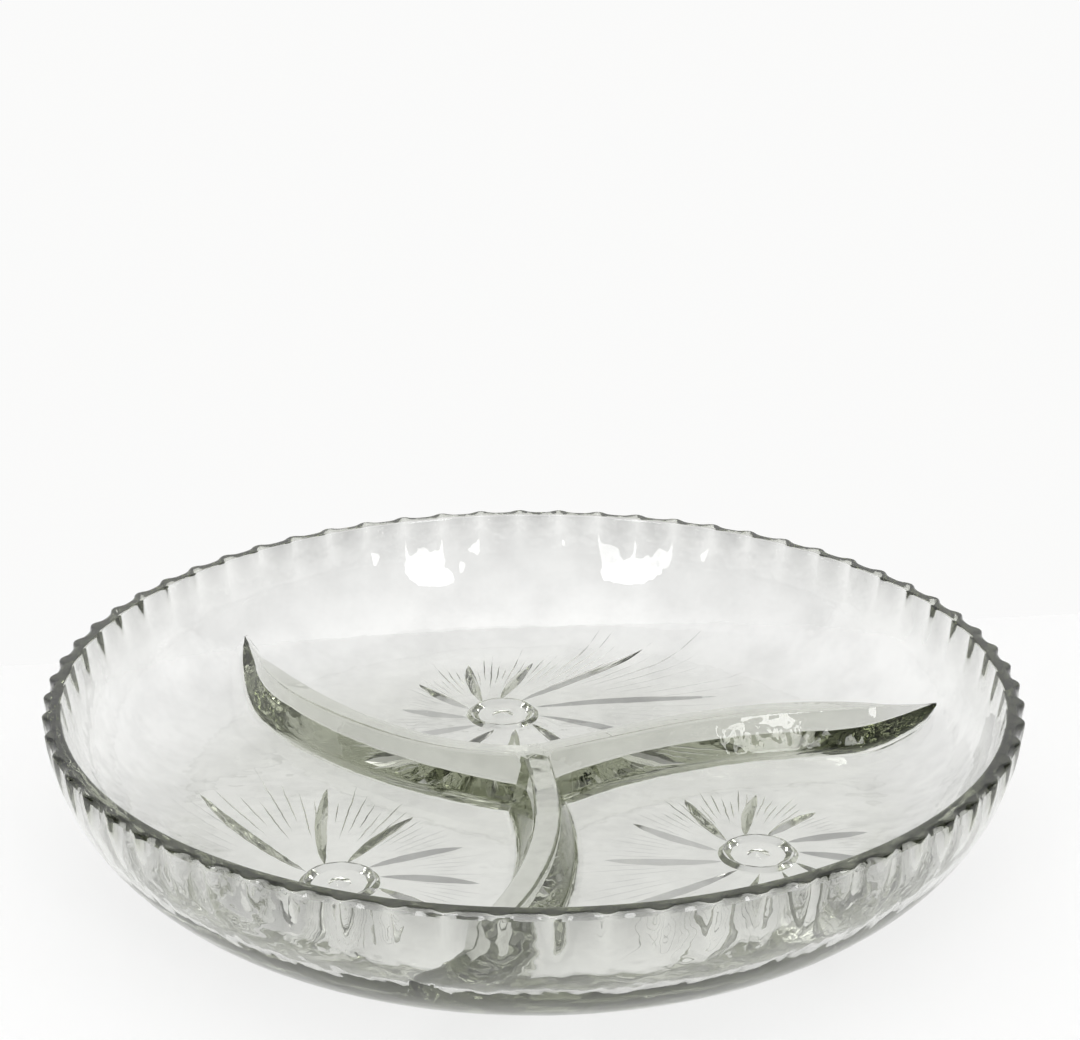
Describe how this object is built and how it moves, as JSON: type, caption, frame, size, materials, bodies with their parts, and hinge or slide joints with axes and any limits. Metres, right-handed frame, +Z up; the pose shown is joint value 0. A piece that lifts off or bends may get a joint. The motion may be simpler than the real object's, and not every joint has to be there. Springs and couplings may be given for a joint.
{
  "type": "relish tray",
  "caption": "Round pressed-glass relish tray with three curved dividers, a fluted rim and whirling stars pressed under the floor.",
  "frame": {"origin": "on the table, on the tray's axis: the centre of the flat foot", "axes": "+Z up along the tray's axis, -Y towards the viewer of the picture, +X to the right"},
  "size_m": [0.26, 0.2598, 0.047],
  "materials": {
    "clear_glass": "gloss"
  },
  "bodies": {
    "root": {"floor_plate": "clear_glass", "bowl_wall": "clear_glass", "fluted_rim": "clear_glass", "divider_right": "clear_glass", "divider_left": "clear_glass", "divider_front": "clear_glass", "star_hob_back": "clear_glass", "star_hob_left": "clear_glass", "star_hob_right": "clear_glass"}
  },
  "joints": []
}
